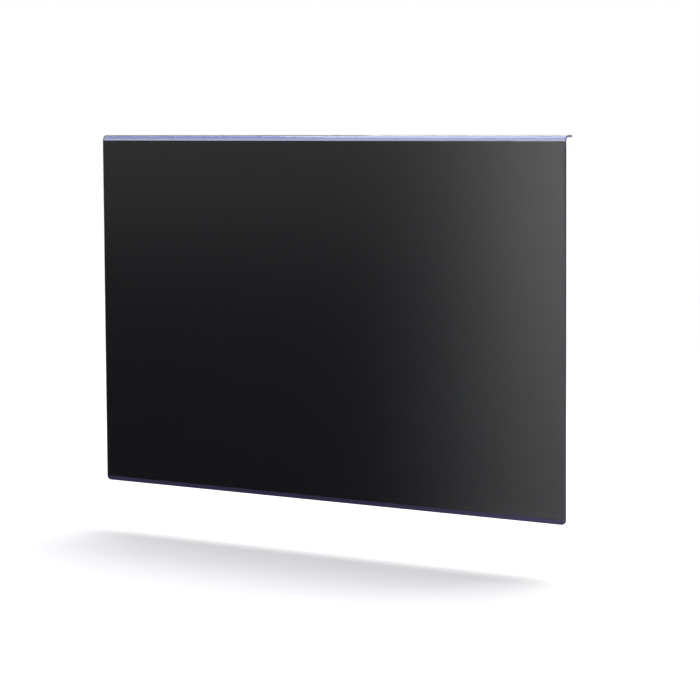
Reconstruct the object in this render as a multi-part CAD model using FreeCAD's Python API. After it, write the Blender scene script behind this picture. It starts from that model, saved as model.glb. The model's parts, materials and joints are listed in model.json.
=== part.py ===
import FreeCAD, Part
import math
import os

# A hanging privacy panel. A clear acrylic sheet is bent back along its top into a short lip, and a dark
# louvre film is bonded to its front.
# Frame: +Z up, the front faces -Y, X runs along the width. The origin is the middle of the lip's flat
# underside, the face that the panel hangs by. All sizes are in millimetres.

# Acrylic sheet
PANEL_WIDTH = 532.0
PANEL_HEIGHT = 337.0
SHEET_THICKNESS = 2.0
BEND_INNER_RADIUS = 3.0
LIP_FLAT_DEPTH = 8.0
LOWER_CORNER_RADIUS = 4.0
LIP_CORNER_RADIUS = 3.0
EDGE_ROUND = 0.3

# Privacy film
FILM_THICKNESS = 0.5
FILM_BEND_CLEARANCE = 0.2
FILM_UPPER_CORNER_RADIUS = 1.5

# Places worked out from the sizes above
BEND_OUTER_RADIUS = BEND_INNER_RADIUS + SHEET_THICKNESS
LIP_END_Y = LIP_FLAT_DEPTH / 2.0
BEND_CENTRE_Y = -LIP_FLAT_DEPTH / 2.0
BEND_CENTRE_Z = -BEND_INNER_RADIUS
BACK_FACE_Y = BEND_CENTRE_Y - BEND_INNER_RADIUS
FRONT_FACE_Y = BEND_CENTRE_Y - BEND_OUTER_RADIUS
LIP_TOP_Z = SHEET_THICKNESS
PANEL_BOTTOM_Z = LIP_TOP_Z - PANEL_HEIGHT

# The film is cut to where the sheet's rounded edge begins
FILM_EDGE_MARGIN = EDGE_ROUND
FILM_BOTTOM_Z = PANEL_BOTTOM_Z + FILM_EDGE_MARGIN
FILM_TOP_Z = BEND_CENTRE_Z - FILM_BEND_CLEARANCE
FILM_LOWER_CORNER_RADIUS = LOWER_CORNER_RADIUS - FILM_EDGE_MARGIN

# Angles that edges are picked by: the least turn at a sharp edge, the most lean of a parallel one
SHARP_ANGLE = math.radians(45.0)
PARALLEL_ANGLE = math.radians(1.0)


def vec(x, y, z):
    """Point or direction in the part's frame."""
    return FreeCAD.Vector(x, y, z)


def bend_arc(radius, x):
    """Quarter arc of the bend at one X, from the upright sheet up and over to the lip."""
    diagonal = radius * math.cos(math.pi / 4.0)
    start = vec(x, BEND_CENTRE_Y - radius, BEND_CENTRE_Z)
    middle = vec(x, BEND_CENTRE_Y - diagonal, BEND_CENTRE_Z + diagonal)
    end = vec(x, BEND_CENTRE_Y, BEND_CENTRE_Z + radius)
    return Part.Arc(start, middle, end).toShape()


def sheet_section(x):
    """Closed section of the bent sheet in the YZ plane at one X."""
    front_bottom = vec(x, FRONT_FACE_Y, PANEL_BOTTOM_Z)
    front_top = vec(x, FRONT_FACE_Y, BEND_CENTRE_Z)
    lip_top_start = vec(x, BEND_CENTRE_Y, LIP_TOP_Z)
    lip_top_end = vec(x, LIP_END_Y, LIP_TOP_Z)
    lip_under_end = vec(x, LIP_END_Y, 0.0)
    lip_under_start = vec(x, BEND_CENTRE_Y, 0.0)
    back_top = vec(x, BACK_FACE_Y, BEND_CENTRE_Z)
    back_bottom = vec(x, BACK_FACE_Y, PANEL_BOTTOM_Z)
    edges = [
        Part.makeLine(front_bottom, front_top),
        bend_arc(BEND_OUTER_RADIUS, x),
        Part.makeLine(lip_top_start, lip_top_end),
        Part.makeLine(lip_top_end, lip_under_end),
        Part.makeLine(lip_under_end, lip_under_start),
        bend_arc(BEND_INNER_RADIUS, x),
        Part.makeLine(back_top, back_bottom),
        Part.makeLine(back_bottom, front_bottom),
    ]
    return Part.Face(Part.Wire(Part.__sortEdges__(edges)))


def corner_edges(shape, direction, test):
    """Straight edges along one direction whose middle passes a test."""
    found = []
    for edge in shape.Edges:
        if not isinstance(edge.Curve, Part.Line):
            continue
        if edge.Curve.Direction.isParallel(direction, PARALLEL_ANGLE) and test(edge.CenterOfMass):
            found.append(edge)
    return found


def face_normal(face, point):
    """Unit normal of a face at the place nearest to a point."""
    u, v = face.Surface.parameter(point)
    return face.normalAt(u, v)


def sharp_edges(shape):
    """Edges where two faces meet at a clear angle, which leaves out the tangent seams of bends."""
    found = []
    for edge in shape.Edges:
        faces = shape.ancestorsOfType(edge, Part.Face)
        if len(faces) != 2:
            continue
        middle = edge.valueAt((edge.FirstParameter + edge.LastParameter) / 2.0)
        turn = face_normal(faces[0], middle).getAngle(face_normal(faces[1], middle))
        if turn > SHARP_ANGLE:
            found.append(edge)
    return found


def acrylic_panel():
    """Bent clear sheet: the upright panel, the bend and the lip, with rounded corners and polished edges."""
    half = PANEL_WIDTH / 2.0
    sheet = sheet_section(-half).extrude(vec(PANEL_WIDTH, 0.0, 0.0))

    lower = corner_edges(sheet, vec(0, 1, 0), lambda p: p.z < PANEL_BOTTOM_Z + SHEET_THICKNESS)
    sheet = sheet.makeFillet(LOWER_CORNER_RADIUS, lower)
    lip = corner_edges(sheet, vec(0, 0, 1), lambda p: p.y > LIP_END_Y - SHEET_THICKNESS / 2.0)
    sheet = sheet.makeFillet(LIP_CORNER_RADIUS, lip)
    return sheet.makeFillet(EDGE_ROUND, sharp_edges(sheet))


def privacy_film():
    """Thin dark film on the front face, from just under the bend down to the sheet's lower edge."""
    width = PANEL_WIDTH - 2.0 * FILM_EDGE_MARGIN
    corner = vec(-width / 2.0, FRONT_FACE_Y - FILM_THICKNESS, FILM_BOTTOM_Z)
    film = Part.makeBox(width, FILM_THICKNESS, FILM_TOP_Z - FILM_BOTTOM_Z, corner)

    middle = (FILM_BOTTOM_Z + FILM_TOP_Z) / 2.0
    lower = corner_edges(film, vec(0, 1, 0), lambda p: p.z < middle)
    film = film.makeFillet(FILM_LOWER_CORNER_RADIUS, lower)
    upper = corner_edges(film, vec(0, 1, 0), lambda p: p.z > middle)
    return film.makeFillet(FILM_UPPER_CORNER_RADIUS, upper)


os.makedirs("parts", exist_ok=True)
acrylic_panel().exportStep("parts/acrylic_panel.step")
privacy_film().exportStep("parts/privacy_film.step")
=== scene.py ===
"""Studio scene of a hanging privacy panel: bent clear acrylic with a dark louvre film on its front.

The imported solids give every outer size. Both are rebuilt here as fine meshes in the same frame, the
film with its louvres inside it, then dressed, lit and seen by one camera. Lengths are metres.
"""

import json
import logging
import math
from collections.abc import Callable
from dataclasses import dataclass
from enum import Enum

import bpy
from mathutils import Matrix, Vector


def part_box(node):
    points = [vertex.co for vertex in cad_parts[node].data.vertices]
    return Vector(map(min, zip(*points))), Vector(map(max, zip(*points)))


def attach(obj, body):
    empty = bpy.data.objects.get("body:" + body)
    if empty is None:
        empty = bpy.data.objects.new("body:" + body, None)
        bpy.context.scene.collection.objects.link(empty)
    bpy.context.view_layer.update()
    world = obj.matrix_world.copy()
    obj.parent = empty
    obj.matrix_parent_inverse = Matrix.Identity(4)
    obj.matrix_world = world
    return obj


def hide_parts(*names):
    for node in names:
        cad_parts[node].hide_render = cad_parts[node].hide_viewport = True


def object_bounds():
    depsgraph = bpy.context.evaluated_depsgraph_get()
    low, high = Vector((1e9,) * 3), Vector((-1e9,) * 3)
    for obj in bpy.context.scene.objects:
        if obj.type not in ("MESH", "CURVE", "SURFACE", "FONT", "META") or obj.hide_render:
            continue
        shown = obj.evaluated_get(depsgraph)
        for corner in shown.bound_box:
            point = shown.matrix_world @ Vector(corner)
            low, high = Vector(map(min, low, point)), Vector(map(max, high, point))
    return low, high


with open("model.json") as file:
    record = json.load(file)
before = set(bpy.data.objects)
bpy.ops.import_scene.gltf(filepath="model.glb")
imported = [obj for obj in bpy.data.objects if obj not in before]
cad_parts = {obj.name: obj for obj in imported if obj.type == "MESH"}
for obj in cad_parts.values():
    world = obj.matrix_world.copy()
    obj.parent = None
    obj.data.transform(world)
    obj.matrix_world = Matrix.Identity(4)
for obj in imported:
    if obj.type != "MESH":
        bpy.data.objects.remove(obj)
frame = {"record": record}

CAD_BOX: tuple[Vector, Vector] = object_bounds()
BODY = "root"
MM = 0.001
QUARTER_TURN = math.pi / 2.0

Point = tuple[float, float, float]
Colour = tuple[float, float, float, float]
FaceCorners = tuple[int, ...]
# A level of an outline: for an inset, a place (across, along, 0) and the outline's normal there
Level = Callable[[float], tuple[Point, Point]]

WHITE: Colour = (1.0, 1.0, 1.0, 1.0)
QUAD: FaceCorners = (0, 1, 2, 3)
# Faces of a box whose corners are listed round its lower end and then round its upper end
BOX_FACES: tuple[FaceCorners, ...] = (
    (0, 3, 2, 1), (4, 5, 6, 7), (0, 1, 5, 4), (1, 2, 6, 5), (2, 3, 7, 6), (3, 0, 4, 7)
)

log = logging.getLogger("privacy_panel")


class Node(Enum):
    """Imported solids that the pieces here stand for."""

    PANEL = "acrylic_panel"
    FILM = "privacy_film"


class Slot(Enum):
    """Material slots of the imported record."""

    ACRYLIC = "clear_acrylic"
    FILM = "dark_film"


class Skin(Enum):
    """Finishes of a formed sheet's mesh, in the order in which it is dressed."""

    FACES = 0
    EDGE = 1


def mount_place(name: str) -> Vector:
    """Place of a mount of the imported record.

    Args:
        name: The mount's name.

    Returns:
        Its position in the shared frame.
    """
    for mount in frame["record"]["mounts"]:
        if mount["name"] == name:
            return Vector(mount["pos_m"])
    raise KeyError(name)


def mesh_object(
    name: str,
    points: list[Vector],
    faces: list[FaceCorners],
    normals: list[Vector] | None = None,
) -> bpy.types.Object:
    """Object of a new mesh in the scene.

    Args:
        name: Name of the object and its mesh.
        points: Vertices in the shared frame.
        faces: Vertex numbers of each face, anticlockwise from outside.
        normals: Normal of each vertex, or None for flat faces.

    Returns:
        The new object.
    """
    mesh = bpy.data.meshes.new(name)
    mesh.from_pydata([tuple(p) for p in points], [], faces)
    mesh.update()
    if normals:
        mesh.shade_smooth()
        mesh.normals_split_custom_set_from_vertices([tuple(n) for n in normals])
    obj = bpy.data.objects.new(name, mesh)
    bpy.context.scene.collection.objects.link(obj)
    return obj


class Graph:
    """Shorthand for building the nodes of one material or of the room."""

    def __init__(self, owner: bpy.types.Material | bpy.types.World) -> None:
        """Starts an empty node tree.

        Args:
            owner: Material or room that the nodes belong to.
        """
        owner.use_nodes = True
        self.owner = owner
        self.tree = owner.node_tree
        self.tree.nodes.clear()
        kind = "World" if isinstance(owner, bpy.types.World) else "Material"
        self.output = self.add(f"ShaderNodeOutput{kind}")

    @classmethod
    def material(cls, name: str) -> "Graph":
        """Starts a new material."""
        return cls(bpy.data.materials.new(name))

    def add(self, kind: str, **values: object) -> bpy.types.Node:
        """Adds a node and sets its inputs.

        Args:
            kind: Blender's node type.
            values: Input values by socket name, with spaces written as underscores.

        Returns:
            The new node.
        """
        node = self.tree.nodes.new(kind)
        for key, value in values.items():
            node.inputs[key.replace("_", " ")].default_value = value
        return node

    def link(self, source: bpy.types.NodeSocket, target: bpy.types.NodeSocket) -> None:
        """Joins an output to an input."""
        self.tree.links.new(source, target)

    def math(self, operation: str, first: bpy.types.NodeSocket, second: object) -> bpy.types.NodeSocket:
        """Adds a calculation on two values.

        Args:
            operation: Blender's name of the calculation.
            first: Output that gives the first value.
            second: Output or plain number of the second value.

        Returns:
            Output of the result.
        """
        node = self.add("ShaderNodeMath")
        node.operation = operation
        self.link(first, node.inputs[0])
        if isinstance(second, bpy.types.NodeSocket):
            self.link(second, node.inputs[1])
        else:
            node.inputs[1].default_value = second
        return node.outputs["Value"]

    def ramp(self, first: Colour, last: Colour) -> bpy.types.Node:
        """Adds a blend from one colour to another.

        Args:
            first: Colour at zero.
            last: Colour at one.

        Returns:
            The new node.
        """
        node = self.add("ShaderNodeValToRGB")
        for stop, colour in zip(node.color_ramp.elements, (first, last)):
            stop.color = colour
        return node

    def noise(self, scale: float, detail: float) -> bpy.types.NodeSocket:
        """Adds random spots that stay with the piece.

        Args:
            scale: About how many spots there are in a metre.
            detail: How many finer layers of spots lie over them.

        Returns:
            Output of the noise, from zero to one.
        """
        place = self.add("ShaderNodeTexCoord")
        spots = self.add("ShaderNodeTexNoise", Scale=scale, Detail=detail)
        self.link(place.outputs["Object"], spots.inputs["Vector"])
        return spots.outputs["Fac"]

    def seen(self) -> bpy.types.NodeSocket:
        """Tells the rays that look at something from the light that falls on things.

        Returns:
            Output that is one for camera, mirror and see-through rays, and zero for the rest.
        """
        path = self.add("ShaderNodeLightPath").outputs
        mirrored = self.math("MAXIMUM", path["Is Camera Ray"], path["Is Glossy Ray"])
        return self.math("MAXIMUM", mirrored, path["Is Transmission Ray"])

    def open_to_lamps(self, surface: bpy.types.NodeSocket) -> None:
        """Makes a clear surface the output, with lamps shining through it instead of a black shadow.

        Args:
            surface: Shader output of the clear surface.
        """
        path = self.add("ShaderNodeLightPath")
        clear = self.add("ShaderNodeBsdfTransparent")
        mix = self.add("ShaderNodeMixShader")
        self.link(path.outputs["Is Shadow Ray"], mix.inputs["Fac"])
        self.link(surface, mix.inputs[1])
        self.link(clear.outputs["BSDF"], mix.inputs[2])
        self.link(mix.outputs["Shader"], self.output.inputs["Surface"])


@dataclass(frozen=True)
class Relief:
    """Fine unevenness of a surface: random spots, raised by a small depth."""

    scale: float
    detail: float
    strength: float
    depth: float

    def normal(self, g: Graph) -> bpy.types.NodeSocket:
        """Adds the unevenness to a material.

        Args:
            g: Nodes of the material.

        Returns:
            Output of the uneven surface's normal.
        """
        bump = g.add("ShaderNodeBump", Strength=self.strength, Distance=self.depth)
        g.link(g.noise(self.scale, self.detail), bump.inputs["Height"])
        return bump.outputs["Normal"]


@dataclass(frozen=True)
class ClearAcrylic:
    """Cast acrylic with a violet tint that deepens at the bend and the edges."""

    ior: float = 1.49
    roughness: float = 0.015
    tint: Colour = (0.205, 0.250, 0.580, 1.0)
    tint_density: float = 560.0
    ripple: Relief = Relief(scale=35.0, detail=2.0, strength=0.3, depth=0.01 * MM)

    def material(self) -> bpy.types.Material:
        """Builds the acrylic: polished, slightly rippled faces over a tinted volume.

        Returns:
            The new material.
        """
        g = Graph.material("tinted_clear_acrylic")
        body = g.add(
            "ShaderNodeBsdfPrincipled",
            Base_Color=WHITE,
            Roughness=self.roughness,
            IOR=self.ior,
            Transmission_Weight=1.0,
        )
        g.link(self.ripple.normal(g), body.inputs["Normal"])
        tint = g.add("ShaderNodeVolumeAbsorption", Color=self.tint, Density=self.tint_density)
        g.link(tint.outputs["Volume"], g.output.inputs["Volume"])
        g.open_to_lamps(body.outputs["BSDF"])
        return g.owner


@dataclass(frozen=True)
class FilmCoat:
    """Clear body of the film, which light crosses unbent, with a satin anti-glare coat on its faces."""

    clearness: Colour = (0.190, 0.185, 0.140, 1.0)
    body_ior: float = 1.0
    body_roughness: float = 0.0
    coat_ior: float = 1.54
    coat_roughness: float = 0.32
    grain: Relief = Relief(scale=9000.0, detail=1.0, strength=0.1, depth=0.004 * MM)

    def material(self) -> bpy.types.Material:
        """Builds the film's body: clear resin under a finely grained satin coat.

        Returns:
            The new material.
        """
        g = Graph.material("satin_film_coat")
        body = g.add(
            "ShaderNodeBsdfPrincipled",
            Base_Color=self.clearness,
            Roughness=self.body_roughness,
            IOR=self.body_ior,
            Transmission_Weight=1.0,
            Coat_Weight=1.0,
            Coat_IOR=self.coat_ior,
            Coat_Roughness=self.coat_roughness,
        )
        g.link(self.grain.normal(g), body.inputs["Coat Normal"])
        g.open_to_lamps(body.outputs["BSDF"])
        return g.owner


@dataclass(frozen=True)
class TwoToneResin:
    """Resin that no light passes: two close shades, mixed in fine specks."""

    name: str
    deep: Colour
    faded: Colour
    mottle_scale: float = 900.0
    mottle_detail: float = 2.0
    roughness: float = 0.7
    gloss: float = 0.1
    metallic: float = 0.0

    def material(self) -> bpy.types.Material:
        """Builds the resin.

        Returns:
            The new material.
        """
        g = Graph.material(self.name)
        body = g.add(
            "ShaderNodeBsdfPrincipled",
            Roughness=self.roughness,
            Metallic=self.metallic,
            Specular_IOR_Level=self.gloss,
        )
        shade = g.ramp(self.deep, self.faded)
        g.link(g.noise(self.mottle_scale, self.mottle_detail), shade.inputs["Fac"])
        g.link(shade.outputs["Color"], body.inputs["Base Color"])
        g.link(body.outputs["BSDF"], g.output.inputs["Surface"])
        return g.owner


LOUVRE_BLACK = TwoToneResin(
    "louvre_black",
    deep=(0.0075, 0.0115, 0.026, 1.0),
    faded=(0.0135, 0.0195, 0.040, 1.0),
)
BORDER_VIOLET = TwoToneResin(
    "border_violet",
    deep=(0.056, 0.051, 0.112, 1.0),
    faded=(0.072, 0.066, 0.142, 1.0),
    roughness=0.38,
    metallic=0.4,
)


@dataclass(frozen=True)
class CutEdge:
    """Polished cut edge of the acrylic: an opaque violet with painted shade, deep beside the film, and
    painted light, paler where the sheet, free of film, turns back.
    """

    # Painted shade: the edge's colour low down, where the dark film lies behind it
    painted_shade_beside_film: Colour = (0.008, 0.008, 0.026, 1.0)
    # Painted light: the edge's colour up at the lip, where light passes the clear sheet
    painted_light_at_lip: Colour = (0.210, 0.200, 0.340, 1.0)
    fade_start: float = -9.0 * MM
    fade_end: float = 0.0
    roughness: float = 0.25
    gloss: float = 0.2
    polish: Relief = Relief(scale=1200.0, detail=2.0, strength=0.1, depth=0.003 * MM)

    def material(self) -> bpy.types.Material:
        """Builds the edge: a violet painted paler with height, from painted shade beside the film to
        painted light at the lip, under a fine unevenness from polishing.

        Returns:
            The new material.
        """
        g = Graph.material("violet_cut_edge")
        body = g.add("ShaderNodeBsdfPrincipled", Roughness=self.roughness, Specular_IOR_Level=self.gloss)
        place = g.add("ShaderNodeTexCoord")
        parts = g.add("ShaderNodeSeparateXYZ")
        # Painted shade and light: by height alone, the edge runs from dark beside the film to pale at the
        # lip
        fade = g.add("ShaderNodeMapRange", From_Min=self.fade_start, From_Max=self.fade_end)
        shade = g.ramp(self.painted_shade_beside_film, self.painted_light_at_lip)
        g.link(place.outputs["Object"], parts.inputs["Vector"])
        g.link(parts.outputs["Z"], fade.inputs["Value"])
        g.link(fade.outputs["Result"], shade.inputs["Fac"])
        g.link(shade.outputs["Color"], body.inputs["Base Color"])
        g.link(self.polish.normal(g), body.inputs["Normal"])
        g.link(body.outputs["BSDF"], g.output.inputs["Surface"])
        return g.owner


@dataclass(frozen=True)
class StudioPaper:
    """White paper floor that reads as plain white and keeps a soft shadow."""

    colour: Colour = (0.80, 0.80, 0.80, 1.0)
    lift: float = 0.187

    def material(self) -> bpy.types.Material:
        """Builds the paper: matte white, lifted to white for the rays that see it.

        Returns:
            The new material.
        """
        g = Graph.material("studio_paper")
        matte = g.add("ShaderNodeBsdfDiffuse", Color=self.colour)
        glow = g.add("ShaderNodeEmission", Color=WHITE)
        both = g.add("ShaderNodeAddShader")
        g.link(g.math("MULTIPLY", g.seen(), self.lift), glow.inputs["Strength"])
        g.link(matte.outputs["BSDF"], both.inputs[0])
        g.link(glow.outputs["Emission"], both.inputs[1])
        g.link(both.outputs["Shader"], g.output.inputs["Surface"])
        return g.owner


@dataclass(frozen=True)
class Blank:
    """Flat sheet before bending: a rectangle with rounded corners and rounded edges.

    A place on it is (across, along, depth): across from the middle of the width, along upwards from
    the lower edge, depth inwards from the outer face.
    """

    width: float
    length: float
    thickness: float
    lower_radius: float
    upper_radius: float
    edge_round: float
    corner_steps: int = 12
    edge_steps: int = 4

    def levels(self, stations: list[float]) -> list[Level]:
        """Right-hand outline from the lower edge to the upper one.

        Args:
            stations: Places along the straight side that need a level of their own.

        Returns:
            The levels, from the lowest up.
        """

        def arc(centre_along: float, radius: float, turn: float) -> Level:
            """Level on a corner arc.

            Args:
                centre_along: Place of the arc's centre along the blank.
                radius: The corner's radius.
                turn: Angle of the outline's normal, from straight across.

            Returns:
                The level.
            """
            normal = (math.cos(turn), math.sin(turn), 0.0)
            middle = self.width / 2.0 - radius

            def at(inset: float) -> tuple[Point, Point]:
                """Place and normal at an inset."""
                reach = radius - inset
                return (middle + reach * normal[0], centre_along + reach * normal[1], 0.0), normal

            return at

        def side(along: float) -> Level:
            """Level on the straight side."""
            return lambda inset: ((self.width / 2.0 - inset, along, 0.0), (1.0, 0.0, 0.0))

        turns = [QUARTER_TURN * step / self.corner_steps for step in range(self.corner_steps + 1)]
        lower = [arc(self.lower_radius, self.lower_radius, turn - QUARTER_TURN) for turn in turns]
        upper = [arc(self.length - self.upper_radius, self.upper_radius, turn) for turn in turns]
        return [*lower, *(side(along) for along in stations), *upper]

    def rims(self) -> list[tuple[float, float, float, float]]:
        """Rings from the outer face round the edge to the inner face.

        Returns:
            For each ring its depth, its inset, and how much of its normal points into the sheet and
            out of the outline.
        """
        rims = []
        turns = [QUARTER_TURN * step / self.edge_steps for step in range(self.edge_steps + 1)]
        for turn in turns:
            depth = self.edge_round * (1.0 - math.cos(turn))
            inset = self.edge_round * (1.0 - math.sin(turn))
            rims.append((depth, inset, -math.cos(turn), math.sin(turn)))
        mirrored = [
            (self.thickness - depth, inset, -inward, out) for depth, inset, inward, out in reversed(rims)
        ]
        return rims + mirrored


@dataclass(frozen=True)
class Former:
    """Carries a flat blank to its place: upright, round the quarter bend and back along the lip."""

    front_y: float
    bottom_z: float
    rise: float
    outer_radius: float

    def axes(self, along: float) -> tuple[Vector, Vector, Vector]:
        """Outer face at one place along the blank.

        Args:
            along: Distance from the lower edge over the outer face.

        Returns:
            The outer face's point at mid width, its upward tangent and its inward normal.
        """
        if along <= self.rise:
            return Vector((0, self.front_y, self.bottom_z + along)), Vector((0, 0, 1)), Vector((0, 1, 0))
        turn = min((along - self.rise) / self.outer_radius, QUARTER_TURN)
        past = along - self.rise - self.outer_radius * turn
        tangent = Vector((0, math.sin(turn), math.cos(turn)))
        inward = Vector((0, math.cos(turn), -math.sin(turn)))
        centre = Vector((0, self.front_y + self.outer_radius, self.bottom_z + self.rise))
        return centre - inward * self.outer_radius + tangent * past, tangent, inward

    def place(self, across: float, along: float, depth: float) -> Vector:
        """Point of the formed sheet for a place on the blank."""
        point, _, inward = self.axes(along)
        return point + Vector((across, 0, 0)) + inward * depth

    def turn(self, normal: Point, along: float) -> Vector:
        """Direction on the formed sheet for a direction on the blank."""
        _, tangent, inward = self.axes(along)
        return (Vector((normal[0], 0, 0)) + tangent * normal[1] + inward * normal[2]).normalized()


def formed_sheet(
    name: str,
    blank: Blank,
    former: Former,
    stations: list[float],
    edge: Skin,
) -> bpy.types.Object:
    """Closed mesh of a blank on its former, with exact normals.

    Args:
        name: Name of the piece.
        blank: The flat sheet.
        former: Where it goes.
        stations: Levels along the straight sides.
        edge: Finish of the narrow faces round the edge.

    Returns:
        The new object, linked into the scene.
    """
    levels = blank.levels(stations)
    count = len(levels)
    ring = 2 * count
    points: list[Vector] = []
    normals: list[Vector] = []
    for depth, inset, inward_share, out_share in blank.rims():
        right = [level(inset) for level in levels]
        left = [((-place[0], place[1], 0.0), (-out[0], out[1], 0.0)) for place, out in reversed(right)]
        for place, out in right + left:
            points.append(former.place(place[0], place[1], depth))
            lean = (out[0] * out_share, out[1] * out_share, inward_share)
            normals.append(former.turn(lean, place[1]))

    # Outer and inner face, a strip for each step between levels
    faces: list[FaceCorners] = []
    last = len(points) - ring
    for level in range(count - 1):
        low_right, high_right = level, level + 1
        low_left, high_left = ring - 1 - level, ring - 2 - level
        faces.append((low_left, low_right, high_right, high_left))
        faces.append((last + low_left, last + high_left, last + high_right, last + low_right))
    broad = len(faces)

    # Narrow faces round the edge, from each ring to the next
    for start in range(0, last, ring):
        for step in range(ring):
            after = (step + 1) % ring
            faces.append((start + step, start + ring + step, start + ring + after, start + after))
    sheet = mesh_object(name, points, faces, normals)
    for face in sheet.data.polygons[broad:]:
        face.material_index = edge.value
    return sheet


@dataclass
class AcrylicPanel:
    """Clear sheet that hangs by its lip: an upright panel, a bend and a short flat lip."""

    lower_corner: float = 4.0 * MM
    lip_corner: float = 3.0 * MM
    bend_inner_radius: float = 3.0 * MM
    edge_round: float = 0.3 * MM
    bend_steps: int = 32
    finish: ClearAcrylic = ClearAcrylic()
    cut_edge: CutEdge = CutEdge()

    def build(self) -> bpy.types.Object:
        """Cuts the blank and bends it, riding on the frame.

        Returns:
            The sheet.
        """
        low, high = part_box(Node.PANEL.value)
        thickness = mount_place("back_face").y - low.y
        outer = self.bend_inner_radius + thickness
        rise = high.z - low.z - outer
        arc = outer * QUARTER_TURN
        lip = high.y - low.y - outer
        blank = Blank(
            high.x - low.x, rise + arc + lip, thickness, self.lower_corner, self.lip_corner, self.edge_round
        )
        former = Former(low.y, low.z, rise, outer)
        stations = [rise + arc * step / self.bend_steps for step in range(self.bend_steps + 1)]
        piece = formed_sheet("bent_acrylic_sheet", blank, former, stations, Skin.EDGE)
        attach(piece, BODY)
        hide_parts(Node.PANEL.value)
        return piece

    def dress(self, piece: bpy.types.Object) -> None:
        """Gives the sheet its clear finish and its cut edges their deeper violet, with painted shade beside
        the film and painted light at the lip.
        """
        for finish in (self.finish, self.cut_edge):
            piece.data.materials.append(finish.material())


@dataclass
class PrivacyFilm:
    """Louvre film on the panel's front: a clear body that holds black louvres, over a violet lower border.

    A bond line parts the film from the sheet, and a border gap parts the body from the border, so that
    no faces coincide. The louvres stand a cover behind the body's front and a rim within its outline.
    """

    sheet_corner: float = AcrylicPanel.lower_corner
    upper_corner: float = 1.5 * MM
    seam_corner: float = 0.2 * MM
    edge_round: float = 0.05 * MM
    bond_line: float = 0.02 * MM
    rim: float = 0.05 * MM
    cover: float = 0.06 * MM
    core_depth: float = 0.36 * MM
    border_height: float = 3.8 * MM
    border_gap: float = 0.01 * MM
    louvre_pitch: float = 0.30 * MM
    louvre_width: float = 0.032 * MM
    body_finish: FilmCoat = FilmCoat()
    border_finish: TwoToneResin = BORDER_VIOLET
    louvre_finish: TwoToneResin = LOUVRE_BLACK

    def build(self) -> list[bpy.types.Object]:
        """Makes the film's body, its border and its louvres, riding on the frame.

        Returns:
            The body, the lower border and the louvres.
        """
        low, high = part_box(Node.FILM.value)
        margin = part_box(Node.PANEL.value)[1].x - high.x
        back = high - Vector((0, self.bond_line, 0))
        border_top = Vector((back.x, back.y, low.z + self.border_height))
        body_low = Vector((low.x, low.y, border_top.z + self.border_gap))
        core_low = body_low + Vector((self.rim, self.cover, self.rim))
        core_high = Vector((high.x - self.rim, core_low.y + self.core_depth, high.z - self.rim))
        pieces = [
            self.slab("privacy_film_sheet", body_low, back, self.seam_corner, self.upper_corner),
            self.slab("film_lower_border", low, border_top, self.sheet_corner - margin, self.seam_corner),
            self.louvres(core_low, core_high),
        ]
        for piece in pieces:
            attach(piece, BODY)
            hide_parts(Node.FILM.value)
        return pieces

    def slab(
        self,
        name: str,
        low: Vector,
        high: Vector,
        lower_corner: float,
        upper_corner: float,
    ) -> bpy.types.Object:
        """Flat upright sheet that fills a box.

        Args:
            name: Name of the piece.
            low: Lowest corner of the box.
            high: Highest corner of the box.
            lower_corner: Radius of the two lower corners.
            upper_corner: Radius of the two upper corners.

        Returns:
            The new object.
        """
        width, thickness, length = high - low
        blank = Blank(width, length, thickness, lower_corner, upper_corner, self.edge_round)
        return formed_sheet(name, blank, Former(low.y, low.z, length, thickness), [], Skin.FACES)

    def louvres(self, low: Vector, high: Vector) -> bpy.types.Object:
        """Row of thin upright slats inside the film's body, cut to its upper corners.

        Args:
            low: Lowest corner of the room for the slats.
            high: Highest corner of that room.

        Returns:
            The slats, as one piece.
        """
        half = (high.x - low.x) / 2.0
        radius = self.upper_corner - self.rim
        count = int(2.0 * half / self.louvre_pitch)
        points: list[Vector] = []
        faces: list[FaceCorners] = []
        for index in range(count):
            middle = (index - (count - 1) / 2.0) * self.louvre_pitch
            left, right = middle - self.louvre_width / 2.0, middle + self.louvre_width / 2.0
            over = max(0.0, abs(middle) + self.louvre_width / 2.0 - (half - radius))
            top = high.z - radius + math.sqrt(max(0.0, radius**2 - over**2))
            start = len(points)
            for z in (low.z, top):
                corners = ((left, low.y), (right, low.y), (right, high.y), (left, high.y))
                points += [Vector((x, y, z)) for x, y in corners]
            for face in BOX_FACES:
                faces.append(tuple(start + corner for corner in face))
        return mesh_object("film_louvres", points, faces)

    def dress(self, pieces: list[bpy.types.Object]) -> None:
        """Gives the body its satin coat, the border its violet and the louvres their black."""
        for piece, finish in zip(pieces, (self.body_finish, self.border_finish, self.louvre_finish)):
            piece.data.materials.append(finish.material())


@dataclass(frozen=True)
class Softbox:
    """Rectangular lamp that is not seen itself, neither directly nor through clear pieces."""

    name: str
    place: Point
    aim: Point
    width: float
    height: float
    power: float

    def build(self) -> None:
        """Hangs the lamp and points it."""
        data = bpy.data.lights.new(self.name, "AREA")
        data.shape = "RECTANGLE"
        data.size = self.width
        data.size_y = self.height
        data.energy = self.power
        lamp = bpy.data.objects.new(self.name, data)
        bpy.context.scene.collection.objects.link(lamp)
        lamp.location = self.place
        lamp.rotation_euler = (Vector(self.aim) - Vector(self.place)).to_track_quat("-Z", "Y").to_euler()
        lamp.visible_camera = False
        lamp.visible_transmission = False


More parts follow.
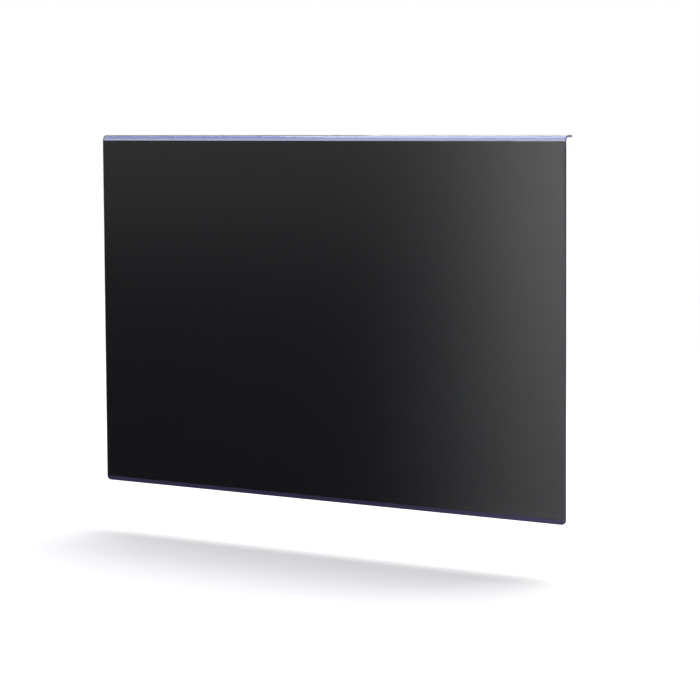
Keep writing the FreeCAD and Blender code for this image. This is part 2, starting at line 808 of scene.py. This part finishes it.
@dataclass(frozen=True)
class MirrorCard:
    """Studio card that only mirrors see, dark or bright: it shapes the film's sheen and lights nothing."""

    name: str
    corner: Point
    first_side: Point
    second_side: Point
    glow: float

    def build(self) -> None:
        """Stands the card in the studio."""
        start, first, second = Vector(self.corner), Vector(self.first_side), Vector(self.second_side)
        corners = [start, start + first, start + first + second, start + second]
        card = mesh_object(self.name, corners, [QUAD])
        g = Graph.material(self.name)
        light = g.add("ShaderNodeEmission", Color=WHITE, Strength=self.glow)
        g.link(light.outputs["Emission"], g.output.inputs["Surface"])
        g.owner.cycles.emission_sampling = "NONE"
        card.data.materials.append(g.owner)
        for ray in ("camera", "diffuse", "transmission", "volume_scatter", "shadow"):
            setattr(card, f"visible_{ray}", False)


@dataclass
class Studio:
    """White studio: a paper floor under the hanging panel, a white room, lamps and cards for the sheen."""

    floor_drop: float = 45.0 * MM
    floor_half: float = 8.0
    room_fill: float = 0.45
    sky_power: float = 2.0
    sky_spread: float = 60.0
    sky_tilt: Point = (-18.0, -14.0, 0.0)
    back_softbox: Softbox = Softbox(
        "back_softbox", place=(0.0, 0.75, 1.0), aim=(0.0, 0.0, 0.0), width=1.8, height=0.9, power=14.0
    )
    cards: tuple[MirrorCard, ...] = (
        MirrorCard(
            "front_dark_card",
            corner=(-1.7, -0.51, -0.38),
            first_side=(1.58, 0.0, 0.0),
            second_side=(0.0, 0.0, 0.26),
            glow=0.085,
        ),
        MirrorCard(
            "front_grey_card",
            corner=(-1.7, -0.51, -0.12),
            first_side=(1.58, 0.0, 0.0),
            second_side=(0.0, 0.0, 0.20),
            glow=0.42,
        ),
        MirrorCard(
            "floor_dark_card",
            corner=(-1.7, -0.51, -0.379),
            first_side=(1.75, 0.0, 0.0),
            second_side=(0.0, 0.48, 0.0),
            glow=0.085,
        ),
        MirrorCard(
            "bright_card",
            corner=(-1.39, -2.06, -0.379),
            first_side=(0.76, -0.43, 0.0),
            second_side=(0.0, 0.0, 0.78),
            glow=3.75,
        ),
        MirrorCard(
            "overhead_card",
            corner=(-0.85, -0.95, 1.0),
            first_side=(0.65, 0.0, 0.0),
            second_side=(0.0, 1.4, 0.0),
            glow=5.7,
        ),
    )
    paper: StudioPaper = StudioPaper()

    def build(self) -> None:
        """Sets the floor, the room, the lamps and the cards."""
        self.floor()
        self.room()
        self.sky()
        for prop in (self.back_softbox, *self.cards):
            prop.build()
        bpy.context.scene.view_settings.view_transform = "Standard"

    def floor(self) -> None:
        """Lays the paper floor below the panel."""
        level = CAD_BOX[0].z - self.floor_drop
        reach = self.floor_half
        corners = ((-reach, -reach), (reach, -reach), (reach, reach), (-reach, reach))
        sheet = mesh_object("paper_floor", [Vector((x, y, level)) for x, y in corners], [QUAD])
        sheet.data.materials.append(self.paper.material())

    def room(self) -> None:
        """Makes the room white to the eye, and a gentler fill for the light it gives."""
        world = bpy.data.worlds.new("white_room")
        g = Graph(world)
        seen = g.add("ShaderNodeBackground", Color=WHITE, Strength=1.0)
        fill = g.add("ShaderNodeBackground", Color=WHITE, Strength=self.room_fill)
        mix = g.add("ShaderNodeMixShader")
        g.link(g.seen(), mix.inputs["Fac"])
        g.link(fill.outputs["Background"], mix.inputs[1])
        g.link(seen.outputs["Background"], mix.inputs[2])
        g.link(mix.outputs["Shader"], g.output.inputs["Surface"])
        bpy.context.scene.world = world

    def sky(self) -> None:
        """Hangs the broad soft lamp that lights floor and panel evenly."""
        data = bpy.data.lights.new("sky_lamp", "SUN")
        data.energy = self.sky_power
        data.angle = math.radians(self.sky_spread)
        lamp = bpy.data.objects.new("sky_lamp", data)
        bpy.context.scene.collection.objects.link(lamp)
        lamp.rotation_euler = [math.radians(angle) for angle in self.sky_tilt]


@dataclass(frozen=True)
class Viewpoint:
    """Camera of the main picture, in front of the panel and to its right, about level with its top."""

    target: Point = (33.6 * MM, -9.0 * MM, -193.5 * MM)
    distance: float = 2.514
    yaw: float = 37.14
    pitch: float = 4.915
    roll: float = -0.354
    focal_pixels: float = 2756.0
    picture_pixels: float = 700.0
    sensor: float = 36.0
    far_limit: float = 100.0

    def build(self) -> None:
        """Places the camera and makes it the scene's own."""
        yaw, pitch, roll = (math.radians(angle) for angle in (self.yaw, self.pitch, self.roll))
        back = Vector((math.sin(yaw) * math.cos(pitch), -math.cos(yaw) * math.cos(pitch), math.sin(pitch)))
        data = bpy.data.cameras.new("main_camera")
        data.sensor_width = self.sensor
        data.lens = self.focal_pixels / self.picture_pixels * self.sensor
        data.clip_end = self.far_limit
        camera = bpy.data.objects.new("main_camera", data)
        bpy.context.scene.collection.objects.link(camera)
        camera.matrix_world = (
            Matrix.Translation(Vector(self.target) + back * self.distance)
            @ back.to_track_quat("Z", "Y").to_matrix().to_4x4()
            @ Matrix.Rotation(roll, 4, "Z")
        )
        bpy.context.scene.camera = camera


def main() -> None:
    """Builds the panel, its film and the studio, and reports each piece."""
    logging.basicConfig(level=logging.INFO, format="%(name)s: %(message)s")
    panel = AcrylicPanel()
    sheet = panel.build()
    panel.dress(sheet)
    film = PrivacyFilm()
    pieces = film.build()
    film.dress(pieces)
    for piece in (sheet, *pieces):
        log.info("%s: %d faces", piece.name, len(piece.data.polygons))
    Studio().build()
    Viewpoint().build()


if __name__ == "__main__":
    main()
